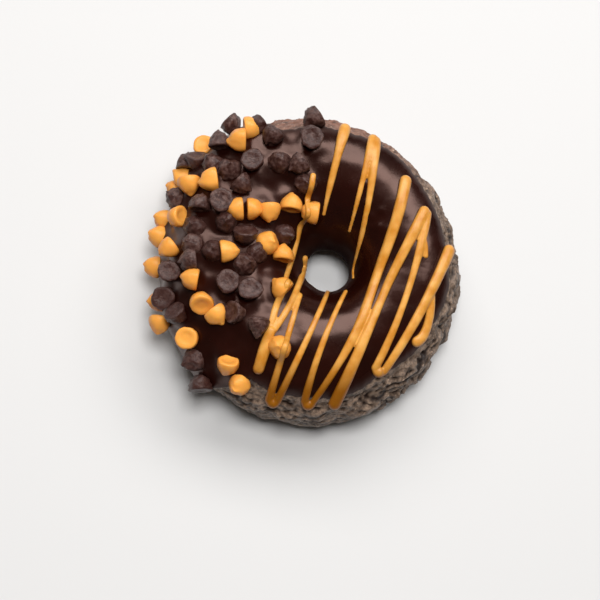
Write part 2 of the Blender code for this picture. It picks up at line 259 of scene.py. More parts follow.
# A strand that crosses a chip within CROSSING of its middle hangs over it, smoothly over HANG_LENGTH.
CROSSING, CHIP_BULK, HANG_LENGTH = 2.6 * MM, 2.8 * MM, 1.2 * MM
DRIZZLE_LEGS = (
    ((8.0, 37.2), (4.9, 26.0), (2.4, 14.5), (1.75, 1.10, 0.60)),
    ((15.9, 34.6), (12.9, 22.2), (10.6, 10.2), (1.60, 0.85, 0.50)),
    ((16.7, 34.2), (15.1, 14.8), (12.6, -4.0), (1.50, 0.95, 0.50)),
    ((-1.4, 23.6), (-8.8, -3.4), (-15.7, -31.2), (0.90, 0.90, 1.30)),
    ((-3.6, 3.2), (-4.6, -12.3), (-13.3, -23.0), (1.15, 1.00, 1.00)),
    ((-4.8, -11.0), (-8.6, -24.7), (-12.5, -38.6), (0.75, 0.95, 1.15)),
    ((-10.2, -38.9), (-2.8, -23.9), (4.3, -8.5), (1.10, 0.92, 0.72)),
    ((9.4, -9.4), (0.7, -23.0), (-3.0, -39.2), (0.72, 0.92, 1.15)),
    ((-0.9, -39.6), (19.6, -12.8), (24.7, 22.2), (1.00, 1.45, 1.75)),
    ((5.1, -39.2), (18.4, -12.9), (29.8, 13.6), (1.85, 1.25, 1.65)),
    ((30.6, 13.1), (27.6, -9.2), (16.0, -30.4), (1.45, 1.00, 1.20)),
    ((18.4, -31.0), (29.5, -15.3), (36.4, 3.1), (1.20, 1.45, 1.85)),
    ((31.8, -9.4), (31.0, -20.6), (27.3, -22.6), (1.10, 1.40, 1.60)),
    ((29.6, 6.5), (30.2, 3.7), (30.3, 0.9), (1.00, 1.00, 0.80)),
)
# Where the piping turned back on itself, the strand lies in a rounded pool.
DRIZZLE_TURNS = (
    ((-12.5, -38.6), (-11.4, -39.9), (-10.2, -38.9), (1.15, 1.50, 1.10)),
    ((-3.0, -39.2), (-2.0, -40.6), (-0.9, -39.6), (1.15, 1.50, 1.15)),
    ((16.0, -30.3), (16.4, -31.9), (18.4, -30.9), (1.20, 1.60, 1.20)),
    ((-12.9, -21.6), (-14.2, -26.0), (-15.6, -31.0), (1.50, 1.75, 1.65)),
)
SEARCH_HALVINGS = 24
FINE_STEPS, END_STEPS, END_TIP = 400, 6, 0.02 * MM

# A surface's steepness is 0 where its normal's height is STEEP_FROM, and 1 where it is STEEP_RANGE less.
STEEP_FROM, STEEP_RANGE = 0.8, 0.7

# Lights: bearing, elevation, distance, width, height, power in watts and colour.
LIGHTS = {
    "window": (77 * DEGREE, 53 * DEGREE, 1.2, 1.75, 0.60, 15.2, (1.0, 0.98, 0.96)),
    "ceiling": (90 * DEGREE, 89 * DEGREE, 0.9, 0.3, 0.3, 6.4, (1.0, 0.99, 0.98)),
}
SURROUND_STRENGTH = 0.05
FLOOR_HALF_WIDTH = 1.5

# Camera: where it looks, how far off it is and from where.
CAMERA_TARGET = Vector((-0.9, -8.7, 11.0)) * MM
CAMERA_DISTANCE = 478.9 * MM
CAMERA_ELEVATION = 76 * DEGREE
CAMERA_AZIMUTH = -20 * DEGREE
CAMERA_LENS = 100.0


def linear(hex_colour):
    """Linear red, green and blue of an sRGB hex colour."""
    channels = [int(hex_colour[k : k + 2], 16) / 255 for k in (1, 3, 5)]
    return tuple(c / 12.92 if c <= 0.04045 else ((c + 0.055) / 1.055) ** 2.4 for c in channels)


def size_property(name, description, default):
    """A length that shows in the panel."""
    return bpy.props.FloatProperty(
        name=name, description=description, default=default, unit="LENGTH", subtype="DISTANCE", precision=5
    )


def colour_property(name, description, hex_colour):
    """A colour that shows in the panel."""
    default = linear(hex_colour)
    return bpy.props.FloatVectorProperty(
        name=name, description=description, default=default, subtype="COLOR", size=3, min=0, max=1
    )


class DoughnutSizes(bpy.types.PropertyGroup):
    """Sizes that a user would change."""

    rim_radius: size_property("Rim radius", "Mean radius of the cake's outer rim", 44.0 * MM)
    hole_radius: size_property("Hole radius", "Radius of the hole in the bare cake", 8.1 * MM)
    crest_height: size_property("Crest height", "Height of the cake's crest above its base", 27.5 * MM)
    icing_thickness: size_property("Icing thickness", "Thickness of the icing over the cake", 1.2 * MM)
    strand_width: bpy.props.FloatProperty(
        name="Strand width",
        description="Width of the drizzle's strands against the usual",
        default=1.0,
        min=0.5,
        max=1.5,
        subtype="FACTOR",
    )
    remesh_voxel: size_property("Drizzle detail", "Size of the voxels that melt the strands", 0.25 * MM)


class DoughnutColours(bpy.types.PropertyGroup):
    """Colours that a user would change."""

    crumb: colour_property("Crumb", "Dry surface of the chocolate crumb", "#9f8774")
    # Painted light: a redder crumb colour that stands in for the warm window light on the +Y side.
    crumb_window_lit: colour_property("Crumb, moist", "Crumb that stayed moist on the +Y side", "#865746")
    # This colour gives the crumb's random dark specks, and painted shade in its pores and the gaps between
    # its ridges.
    crumb_specks_and_pore_shade: colour_property("Crumb pores", "Crumb deep in pores and cracks", "#1e100a")
    icing: colour_property("Icing", "Set dark chocolate icing", "#210804")
    chocolate_chip: colour_property("Chocolate chips", "Body of a chocolate chip", "#361c17")
    chip_bloom: colour_property("Chip bloom", "Dusty bloom on the chocolate chips", "#6a5049")
    peanut_butter_chip: colour_property("Peanut butter chips", "Body of a peanut butter chip", "#e8a24a")
    drizzle: colour_property("Drizzle", "Set peanut butter of the drizzle", "#c17f2a")
    drizzle_light: colour_property("Drizzle, thin", "Peanut butter where it is thin or worn", "#d99f4e")
    # Painted shade of the drizzle, on its steep sides and towards its -Y end, which faces away from the
    # window.
    drizzle_shade: colour_property("Drizzle, thick", "Peanut butter where it pooled", "#85500c")
    floor: colour_property("Floor", "Plain pale floor", "#d2d2d2")


class Ring:
    """The cake's smooth skin, and places on it."""

    def __init__(self, sizes):
        self.rim_radius = sizes.rim_radius
        self.hole_radius = sizes.hole_radius
        self.crest_height = sizes.crest_height
        self.icing_lift = GAP + sizes.icing_thickness

    def rim_at(self, bearing):
        """Radius of the uneven rim."""
        return self.rim_radius + sum(h * np.cos(n * (bearing - first)) for n, h, first in RIM_BULGES)

    def centre_at(self, across):
        """Centre of the circle at a share of the way across the ring, 0 at the throat and 1 at the rim."""
        across = np.asarray(across, dtype=float)[..., None]
        bend = 2 * CREST_CENTRE - 0.5 * HOLE_CENTRE
        return RING_CENTRE + (1 - across) ** 2 * HOLE_CENTRE + 2 * across * (1 - across) * bend

    def radius_at(self, across, bearing):
        """Radius of that circle."""
        return self.hole_radius + (self.rim_at(bearing) - self.hole_radius) * across

    def skin(self, bearing, section):
        """Points on the smooth skin."""
        bearing, section = np.broadcast_arrays(bearing, section)
        across = 0.5 + 0.5 * np.cos(section)
        rise = np.sin(section)
        reach = np.where(rise > 0, self.crest_height - RIM_HEIGHT, UNDERSIDE_DEPTH)
        height = np.maximum(0, RIM_HEIGHT + reach * rise)
        out = np.stack((np.cos(bearing), np.sin(bearing), 0 * bearing), axis=-1)
        level = self.centre_at(across) + self.radius_at(across, bearing)[..., None] * out
        level[..., 2] = height
        return level

    def normal(self, bearing, section):
        """Outward directions of the smooth skin."""
        step = 0.5 * DEGREE
        along = self.skin(bearing + step, section) - self.skin(bearing - step, section)
        up = self.skin(bearing, section + step) - self.skin(bearing, section - step)
        across = np.cross(along, up)
        return across / np.linalg.norm(across, axis=-1, keepdims=True)

    def lifted(self, bearing, section, lift):
        """Points that stand off the smooth skin by lift."""
        lift = np.asarray(lift, dtype=float)[..., None]
        return self.skin(bearing, section) + lift * self.normal(bearing, section)

    def place_below(self, plan):
        """Bearings and section angles of the skin's upper side under plan points from the ring's centre."""
        low, high = np.zeros(len(plan)), np.ones(len(plan))
        for _ in range(SEARCH_HALVINGS):
            across = 0.5 * (low + high)
            away = plan - (self.centre_at(across) - RING_CENTRE)[:, :2]
            bearing = np.arctan2(away[:, 1], away[:, 0])
            outside = np.hypot(away[:, 0], away[:, 1]) > self.radius_at(across, bearing)
            low, high = np.where(outside, across, low), np.where(outside, high, across)
        return bearing, np.arccos(2 * across - 1)


def nearness(bearing, centre):
    """1 at the centre bearing, falling smoothly to 0 opposite."""
    return 0.5 + 0.5 * np.cos(bearing - centre)


def icing_edge(bearing):
    """Section angle where the icing ends on the side."""
    begins, full = CHIPS_REACH
    low = np.clip((nearness(bearing, CHIPS_BEARING) - begins) / (full - begins), 0, 1)
    edge = ICING_EDGE + ICING_EDGE_RISE * np.sin(bearing)
    for count, height, start in ICING_EDGE_WAVES:
        edge = edge + height * np.sin(count * (bearing - start))
    edge = edge - ICING_SAG * nearness(bearing, SAG_BEARING) ** SAG_SHARPNESS
    return edge + (ICING_EDGE_UNDER_CHIPS - edge) * low


def ring_object(name, points):
    """Object of a closed grid of points, columns round the ring and rows round its section."""
    columns, rows = points.shape[:2]
    index = np.arange(columns * rows).reshape(columns, rows)
    beside = np.roll(index, -1, axis=0)
    corners = (index, beside, np.roll(beside, -1, axis=1), np.roll(index, -1, axis=1))
    faces = np.stack(corners, axis=-1).reshape(-1, 4)
    mesh = bpy.data.meshes.new(name)
    mesh.from_pydata(points.reshape(-1, 3).tolist(), [], faces.tolist())
    mesh.shade_smooth()
    return link(bpy.data.objects.new(name, mesh))


def link(thing):
    """Put an object in the scene."""
    bpy.context.scene.collection.objects.link(thing)
    return thing


def finish_piece(piece, node, material):
    """Give a piece its material, and let it ride in place of a node."""
    piece.data.materials.clear()
    piece.data.materials.append(material)
    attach(piece, "root")
    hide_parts(node)


def plain_mesh_object(source, name):
    """Object of the mesh that a source's modifiers make. The source is removed."""
    evaluated = source.evaluated_get(bpy.context.evaluated_depsgraph_get())
    mesh = bpy.data.meshes.new_from_object(evaluated)
    bpy.data.objects.remove(source)
    mesh.name = name
    mesh.shade_smooth()
    return link(bpy.data.objects.new(name, mesh))


def store_steepness(piece):
    """Store for its material how steep a piece's surface is, from 0 where it faces up to 1 on its sides,
    for painted shade on the sides.
    """
    normals = np.empty(3 * len(piece.data.vertices))
    piece.data.vertex_normals.foreach_get("vector", normals)
    steep = np.clip((STEEP_FROM - normals[2::3]) / STEEP_RANGE, 0, 1)
    piece.data.attributes.new("steep", "FLOAT", "POINT").data.foreach_set("value", steep)


def add_node(tree, kind, inputs=None, **settings):
    """Add a node, set its settings, and link or fill its inputs."""
    node = tree.nodes.new(kind)
    for name, value in settings.items():
        setattr(node, name, value)
    for name, value in (inputs or {}).items():
        if isinstance(value, bpy.types.NodeSocket):
            tree.links.new(value, node.inputs[name])
        else:
            node.inputs[name].default_value = value
    return node


def rgba(colour):
    """Four values of a linear colour."""
    return (*colour, 1.0)


def new_material(name, values):
    """Principled material, its node tree and its shader, whose own sockets are set to values."""
    material = bpy.data.materials.new(name)
    material.use_nodes = True
    tree = material.node_tree
    shader = tree.nodes["Principled BSDF"]
    for socket, value in values.items():
        shader.inputs[socket].default_value = value
    return material, tree, shader


def crumb_material(colours):
    """Baked chocolate crumb, torn open as it left the pan: dull grey-brown ridges with a few painted
    glints, and painted shade that takes pores and the gaps between ridges almost black. Towards +Y, the
    side that the window lights, it is painted redder as warm light."""
    values = {"Roughness": 0.45, "Specular IOR Level": 0.8}
    material, tree, shader = new_material("Baked chocolate crumb", values)
    place = add_node(tree, "ShaderNodeTexCoord").outputs["Object"]
    # Dry patches of 3 mm, broken by dark specks of 0.8 mm.
    values = {"Vector": place, "Scale": 1 / (3 * MM), "Detail": 4, "Roughness": 0.5}
    patches = add_node(tree, "ShaderNodeTexNoise", values).outputs["Fac"]
    values = {"Value": patches, "From Min": 0.35, "From Max": 0.65, "To Min": 0.55}
    patches = add_node(tree, "ShaderNodeMapRange", values).outputs["Result"]
    values = {"Vector": place, "Scale": 1 / (0.8 * MM), "Detail": 3, "Roughness": 0.6}
    specks = add_node(tree, "ShaderNodeTexNoise", values).outputs["Fac"]
    values = {"Value": specks, "From Min": 0.38, "From Max": 0.58, "To Min": 0.45}
    specks = add_node(tree, "ShaderNodeMapRange", values).outputs["Result"]
    dry = add_node(tree, "ShaderNodeMath", {0: patches, 1: specks}, operation="MULTIPLY").outputs[0]
    values = {0: dry, 6: rgba(colours.crumb_specks_and_pore_shade), 7: rgba(colours.crumb)}
    surface = add_node(tree, "ShaderNodeMix", values, data_type="RGBA").outputs[2]
    # Painted light: redder from the middle to the +Y rim, the side that the window lights.
    across = add_node(tree, "ShaderNodeSeparateXYZ", {"Vector": place}).outputs["Y"]
    values = {"Value": across, "From Min": 20 * MM, "From Max": 42 * MM, "To Max": 0.75}
    lit = add_node(tree, "ShaderNodeMapRange", values).outputs["Result"]
    values = {0: lit, 6: surface, 7: rgba(colours.crumb_window_lit)}
    surface = add_node(tree, "ShaderNodeMix", values, data_type="RGBA").outputs[2]
    # Painted glints: bright specks about 1.1 mm apart that stand in for light caught on the crumb.
    values = {"Vector": place, "Scale": (1.0, 1.0, 1.3)}
    flatter = add_node(tree, "ShaderNodeMapping", values).outputs["Vector"]
    values = {"Vector": flatter, "Scale": 1 / (1.1 * MM), "Detail": 2, "Roughness": 0.6}
    painted_glints = add_node(tree, "ShaderNodeTexNoise", values).outputs["Fac"]
    values = {"Value": painted_glints, "From Min": 0.66, "From Max": 0.72, "To Max": 0.7}
    painted_glints = add_node(tree, "ShaderNodeMapRange", values).outputs["Result"]
    glint_colour = tuple(min(1.0, 2.1 * c) for c in colours.crumb)
    values = {0: painted_glints, 6: surface, 7: rgba(glint_colour)}
    surface = add_node(tree, "ShaderNodeMix", values, data_type="RGBA").outputs[2]
    # Painted shade: pores and the gaps between ridges are mixed towards the darkest crumb colour.
    recess_shade = add_node(tree, "ShaderNodeAttribute", attribute_name="recess_shade").outputs["Fac"]
    values = {0: recess_shade, 6: surface, 7: rgba(colours.crumb_specks_and_pore_shade)}
    surface = add_node(tree, "ShaderNodeMix", values, data_type="RGBA").outputs[2]
    tree.links.new(surface, shader.inputs["Base Color"])
    # Grain of 0.6 mm, and streaks that run round the ring where the crumb tore.
    values = {"Vector": place, "Scale": 1 / (0.6 * MM), "Detail": 5, "Roughness": 0.65}
    grain = add_node(tree, "ShaderNodeTexNoise", values).outputs["Fac"]
    grain = add_node(tree, "ShaderNodeBump", {"Height": grain, "Distance": 0.25 * MM}).outputs["Normal"]
    values = {"Vector": place, "Scale": (0.35, 0.35, 1.6)}
    longer = add_node(tree, "ShaderNodeMapping", values).outputs["Vector"]
    values = {"Vector": longer, "Scale": 1 / (1.4 * MM), "Detail": 3, "Roughness": 0.5}
    streaks = add_node(tree, "ShaderNodeTexNoise", values).outputs["Fac"]
    values = {"Height": streaks, "Distance": 0.5 * MM, "Normal": grain}
    relief = add_node(tree, "ShaderNodeBump", values).outputs["Normal"]
    tree.links.new(relief, shader.inputs["Normal"])
    return material


def icing_material(colours):
    """Dark chocolate icing, poured and set: almost black, with a smooth skin that mirrors the light
    softly and warmly. It is dull in the hole and at its edge, where it ran thin, and a little so between
    the chips."""
    tint = rgba(linear("#f2c8bb"))
    values = {"Roughness": 0.25, "IOR": 1.7, "Specular Tint": tint}
    material, tree, shader = new_material("Set dark chocolate icing", values)
    place = add_node(tree, "ShaderNodeTexCoord").outputs["Object"]
    values = {"Vector": place, "Scale": 1 / (9 * MM), "Detail": 3, "Roughness": 0.5}
    cloud = add_node(tree, "ShaderNodeTexNoise", values).outputs["Fac"]
    values = {"Value": cloud, "From Min": 0.3, "From Max": 0.7}
    cloud = add_node(tree, "ShaderNodeMapRange", values).outputs["Result"]
    darker = tuple(0.6 * c for c in colours.icing)
    values = {0: cloud, 6: rgba(darker), 7: rgba(colours.icing)}
    cocoa = add_node(tree, "ShaderNodeMix", values, data_type="RGBA").outputs[2]
    tree.links.new(cocoa, shader.inputs["Base Color"])
    values = {"Vector": place, "Scale": 1 / (5 * MM), "Detail": 3, "Roughness": 0.5}
    haze = add_node(tree, "ShaderNodeTexNoise", values).outputs["Fac"]
    values = {"Value": haze, "From Min": 0.3, "From Max": 0.7, "To Min": 0.20, "To Max": 0.29}
    haze = add_node(tree, "ShaderNodeMapRange", values).outputs["Result"]
    dull = add_node(tree, "ShaderNodeAttribute", attribute_name="dull").outputs["Fac"]
    values = {0: dull, 1: 0.4, 2: haze}
    rough = add_node(tree, "ShaderNodeMath", values, operation="MULTIPLY_ADD").outputs[0]
    tree.links.new(rough, shader.inputs["Roughness"])
    values = {"Vector": place, "Scale": 1 / (2.5 * MM), "Detail": 2, "Roughness": 0.5}
    ripple = add_node(tree, "ShaderNodeTexNoise", values).outputs["Fac"]
    ripple = add_node(tree, "ShaderNodeBump", {"Height": ripple, "Distance": 0.05 * MM}).outputs["Normal"]
    tree.links.new(ripple, shader.inputs["Normal"])
    return material


def chocolate_chip_material(colours):
    """Semi-sweet baking chocolate, dropped warm on a belt: satin dark brown, dusted grey where chips rubbed
    together in the bag. Each chip has its own tone."""
    material, tree, shader = new_material("Semi-sweet baking chocolate", {"Roughness": 0.4, "IOR": 1.55})
    place = add_node(tree, "ShaderNodeTexCoord").outputs["Object"]
    tone = add_node(tree, "ShaderNodeAttribute", attribute_name="tone").outputs["Fac"]
    values = {"Vector": place, "Scale": 1 / (1.2 * MM), "Detail": 5, "Roughness": 0.65}
    dust = add_node(tree, "ShaderNodeTexNoise", values).outputs["Fac"]
    values = {"Value": dust, "From Min": 0.42, "From Max": 0.68}
    dust = add_node(tree, "ShaderNodeMapRange", values).outputs["Result"]
    share = add_node(tree, "ShaderNodeMapRange", {"Value": tone, "To Min": 0.35}).outputs["Result"]
    worn = add_node(tree, "ShaderNodeMath", {0: dust, 1: share}, operation="MULTIPLY").outputs[0]
    values = {0: worn, 6: rgba(colours.chocolate_chip), 7: rgba(colours.chip_bloom)}
    surface = add_node(tree, "ShaderNodeMix", values, data_type="RGBA").outputs[2]
    tree.links.new(surface, shader.inputs["Base Color"])
    values = {"Vector": place, "Scale": 1 / (0.8 * MM), "Detail": 4, "Roughness": 0.65}
    scuffs = add_node(tree, "ShaderNodeTexNoise", values).outputs["Fac"]
    scuffs = add_node(tree, "ShaderNodeBump", {"Height": scuffs, "Distance": 0.30 * MM}).outputs["Normal"]
    tree.links.new(scuffs, shader.inputs["Normal"])
    return material


def peanut_butter_chip_material(colours):
    """Peanut butter baking chips, dropped warm on a belt: a pale waxy orange that light sinks into a
    little, with painted shade that makes them deeper orange on their steep sides. Each chip has its own
    tone."""
    values = {
        "Roughness": 0.38,
        "IOR": 1.45,
        "Subsurface Weight": 0.25,
        "Subsurface Radius": (1.0, 0.45, 0.15),
        "Subsurface Scale": 1.0 * MM,
    }
    material, tree, shader = new_material("Peanut butter baking chip", values)
    place = add_node(tree, "ShaderNodeTexCoord").outputs["Object"]
    tone = add_node(tree, "ShaderNodeAttribute", attribute_name="tone").outputs["Fac"]
    # Painted shade: the steep sides go to the darker orange, mixed with each chip's random tone.
    steep = add_node(tree, "ShaderNodeAttribute", attribute_name="steep").outputs["Fac"]
    values = {0: tone, 1: 0.5, 2: steep}
    shade = add_node(tree, "ShaderNodeMath", values, operation="MULTIPLY_ADD").outputs[0]
    shade = add_node(tree, "ShaderNodeMapRange", {"Value": shade, "From Max": 1.3}).outputs["Result"]
    darker = tuple(c * d for c, d in zip(colours.peanut_butter_chip, (0.80, 0.66, 0.50)))
    values = {0: shade, 6: rgba(colours.peanut_butter_chip), 7: rgba(darker)}
    surface = add_node(tree, "ShaderNodeMix", values, data_type="RGBA").outputs[2]
    tree.links.new(surface, shader.inputs["Base Color"])
    values = {"Vector": place, "Scale": 1 / (0.8 * MM), "Detail": 3, "Roughness": 0.5}
    scuffs = add_node(tree, "ShaderNodeTexNoise", values).outputs["Fac"]
    scuffs = add_node(tree, "ShaderNodeBump", {"Height": scuffs, "Distance": 0.04 * MM}).outputs["Normal"]
    tree.links.new(scuffs, shader.inputs["Normal"])
    return material


def drizzle_material(colours):
    """Smooth peanut butter, piped warm and set: tan and glossier than the chips, with pale clouds where it
    is thin, and painted shade that turns it amber on its steep sides and towards its -Y end, which faces
    away from the window."""
    values = {
        "Roughness": 0.33,
        "IOR": 1.46,
        "Subsurface Weight": 0.2,
        "Subsurface Radius": (1.0, 0.45, 0.12),
        "Subsurface Scale": 0.8 * MM,
    }
    material, tree, shader = new_material("Set peanut butter", values)
    place = add_node(tree, "ShaderNodeTexCoord").outputs["Object"]
    values = {"Vector": place, "Scale": 1 / (4 * MM), "Detail": 3, "Roughness": 0.5}
    cloud = add_node(tree, "ShaderNodeTexNoise", values).outputs["Fac"]
    values = {"Value": cloud, "From Min": 0.35, "From Max": 0.65}
    cloud = add_node(tree, "ShaderNodeMapRange", values).outputs["Result"]
    values = {0: cloud, 6: rgba(colours.drizzle), 7: rgba(colours.drizzle_light)}
    surface = add_node(tree, "ShaderNodeMix", values, data_type="RGBA").outputs[2]
    # Painted shade: darker amber towards the -Y end, which faces away from the window, and on the steep
    # sides.
    across = add_node(tree, "ShaderNodeSeparateXYZ", {"Vector": place}).outputs["Y"]
    values = {"Value": across, "From Min": -29 * MM, "From Max": -38 * MM}
    faces_away = add_node(tree, "ShaderNodeMapRange", values).outputs["Result"]
    steep = add_node(tree, "ShaderNodeAttribute", attribute_name="steep").outputs["Fac"]
    values = {0: steep, 1: 0.75, 2: faces_away}
    deep = add_node(tree, "ShaderNodeMath", values, operation="MULTIPLY_ADD", use_clamp=True).outputs[0]
    values = {0: deep, 6: surface, 7: rgba(colours.drizzle_shade)}
    surface = add_node(tree, "ShaderNodeMix", values, data_type="RGBA").outputs[2]
    tree.links.new(surface, shader.inputs["Base Color"])
    values = {"Vector": place, "Scale": 1 / (0.9 * MM), "Detail": 3, "Roughness": 0.5}
    ripple = add_node(tree, "ShaderNodeTexNoise", values).outputs["Fac"]
    ripple = add_node(tree, "ShaderNodeBump", {"Height": ripple, "Distance": 0.05 * MM}).outputs["Normal"]
    tree.links.new(ripple, shader.inputs["Normal"])
    return material


def floor_material(colours):
    """Matt painted board: pale and even, with hardly any gloss."""
    values = {"Base Color": rgba(colours.floor), "Roughness": 0.6, "Specular IOR Level": 0.2}
    return new_material("Matt pale board", values)[0]


def crumb_relief(x, y, z, across, broad, torn):
    """Relief of the bare crumb at one place: the broad crag's height, the fine relief's height, and how
    much painted shade the place gets for lying deep in a pore or between ridges, from 0 to 1."""
    crag = noise.noise(Vector((x / CRAG_LENGTH, y / CRAG_LENGTH, z / CRAG_HEIGHT)))
    across += WOBBLE_HEIGHT * noise.noise(Vector((x, y, across)) / WOBBLE_LENGTH)
    # Each plate has its own height, drawn by the place of its centre.
    _, centres = noise.voronoi(Vector((x / PLATE_LENGTH, y / PLATE_LENGTH, across / PLATE_HEIGHT)))
    plate = noise.noise(7.3 * centres[0])
    # A ridge's crest is where its noise crosses 0, and it falls away sharply on both sides.
    ridge = abs(noise.noise(Vector((x / RIDGE_LENGTH, y / RIDGE_LENGTH, across / RIDGE_HEIGHT))))
    scale = abs(noise.noise(Vector((x / SCALE_LENGTH, y / SCALE_LENGTH, across / SCALE_HEIGHT))))
    pore = noise.noise(Vector((x / PORE_LENGTH, y / PORE_LENGTH, across / PORE_HEIGHT + 31)))
    pore = torn * min(1.0, max(0.0, (pore - PORE_FROM) / PORE_RANGE))
    detail = torn * PLATE_STEP * plate + RIDGE_DEPTH * (0.5 - CREST_SLOPE * ridge)
    detail += SCALE_DEPTH * (0.5 - CREST_SLOPE * scale)
    # Painted shade: the crumb darkens in the gaps between ridges and scales, and in pores.
    between_ridges = torn * max(0.0, CREST_SLOPE * ridge - RIDGE_DARK_FROM)
    between_scales = max(0.0, SCALE_DARKENS * scale - SCALE_DARK_FROM)
    recess_shade = min(1.0, pore + between_ridges + between_scales)
    return CRAG_DEPTH * broad * crag, detail - CRUMB_SINK - PORE_DEPTH * pore, recess_shade


def make_cake(ring):
    """The baked ring: finely craggy where it is bare, plain where the icing covers it."""
    rows = [np.linspace(first, last, count, endpoint=False) for first, last, count in CAKE_ROWS]
    section = np.concatenate(rows)[None, :] * DEGREE
    bearing = np.linspace(-math.pi, math.pi, CAKE_COLUMNS, endpoint=False)[:, None]
    skin = ring.skin(bearing, section)
    below_icing = icing_edge(bearing) - section
    fade = np.clip(below_icing / FADE_AT_ICING, 0, 1) * np.clip(skin[..., 2] / FADE_AT_BASE, 0, 1)
    bare = nearness(bearing, CRAG_BEARING) ** 2
    broad = fade * (CALM_SHARE + (1 - CALM_SHARE) * bare)
    torn = CALM_SHARE_OF_CRUMB + (1 - CALM_SHARE_OF_CRUMB) * bare[:, 0]
    fine = np.clip((below_icing + CRUMB_UNDER_ICING) / CRUMB_FADE, 0, 1)
    fine = fine * np.clip(skin[..., 2] / CRUMB_FADE_AT_BASE, 0, 1)
    relief, recess_shade = np.zeros(fade.shape), np.zeros(fade.shape)
    for column in range(CAKE_COLUMNS):
        for row in range(BARE_ROWS):
            share = fine[column, row]
            if share > 0:
                place = (*skin[column, row], UNDERSIDE_DEPTH * section[0, row])
                crag, detail, depth = crumb_relief(*place, broad[column, row], torn[column])
                relief[column, row] = min(crag + share * detail, CRUMB_REACH)
                recess_shade[column, row] = share * depth
    piece = ring_object("baked_cake", ring.lifted(bearing, section, relief))
    # The attribute stored here carries the painted shade of pores and the gaps between ridges.
    piece.data.attributes.new("recess_shade", "FLOAT", "POINT").data.foreach_set("value", recess_shade.ravel())
    return piece


def chip_axis(cell, normal, draw):
    """Direction of a chip's point, for the way that it lies on a slope."""
    chance = Vector([draw.uniform(-1, 1) for _ in range(3)]) * math.tan(CHIP_LEAN)
    if cell == "k":
        return (normal + chance).normalized()
    if cell == "o":
        return (chance - BASE_UP_SLOPE * normal - Vector((0, 0, 1))).normalized()
    tipped = cell in TIPPED
    heading = (TIPPED if tipped else LYING).index(cell) * 45 * DEGREE
    heading += draw.uniform(-1, 1) * HEADING_SCATTER
    dip = TIPPED_DIP if tipped else 0
    level = math.cos(dip)
    return Vector((level * math.cos(heading), level * math.sin(heading), -math.sin(dip)))


def seat_height(axis, normal):
    """Height of a full-size chip's middle over a slope that the chip touches."""
    down = -axis.dot(normal)
    side = math.sqrt(max(0.0, 1 - down * down))
    outline = ((0, CHIP_BASE_RADIUS), (CHIP_SHOULDER_HEIGHT, CHIP_SHOULDER_RADIUS), (CHIP_HEIGHT, 0))
    return max((height - CHIP_MIDDLE) * down + radius * side for height, radius in outline)


def chip_places(ring):
    """Kind, matrix, size and foot of every chip, row by row."""
    draw = random.Random(CHIP_SEED)
    for section_degrees, first_degrees, cells in CHIP_ROWS:
        section = section_degrees * DEGREE
        row_radius = ring.radius_at(0.5 + 0.5 * math.cos(section), first_degrees * DEGREE)
        for column, cell in enumerate(cells):
            if cell == ".":
                continue
            bearing = first_degrees * DEGREE + column * CELL / row_radius
            normal = Vector(ring.normal(bearing, section))
            axis = chip_axis(cell.lower(), normal, draw)
            size = 1 + draw.uniform(-1, 1) * CHIP_SIZE_SPREAD
            turn = draw.uniform(0, 2 * math.pi)
            height = ring.icing_lift + size * seat_height(axis, normal) - CHIP_SINK
            middle = Vector(ring.lifted(bearing, section, height))
            turned = axis.to_track_quat("Z", "Y").to_matrix().to_4x4() @ Matrix.Rotation(turn, 4, "Z")
            kind = "peanut_butter" if cell.isupper() else "chocolate"
            foot = middle - (height - ring.icing_lift) * normal
            yield kind, Matrix.Translation(middle - CHIP_MIDDLE * size * axis) @ turned, size, foot


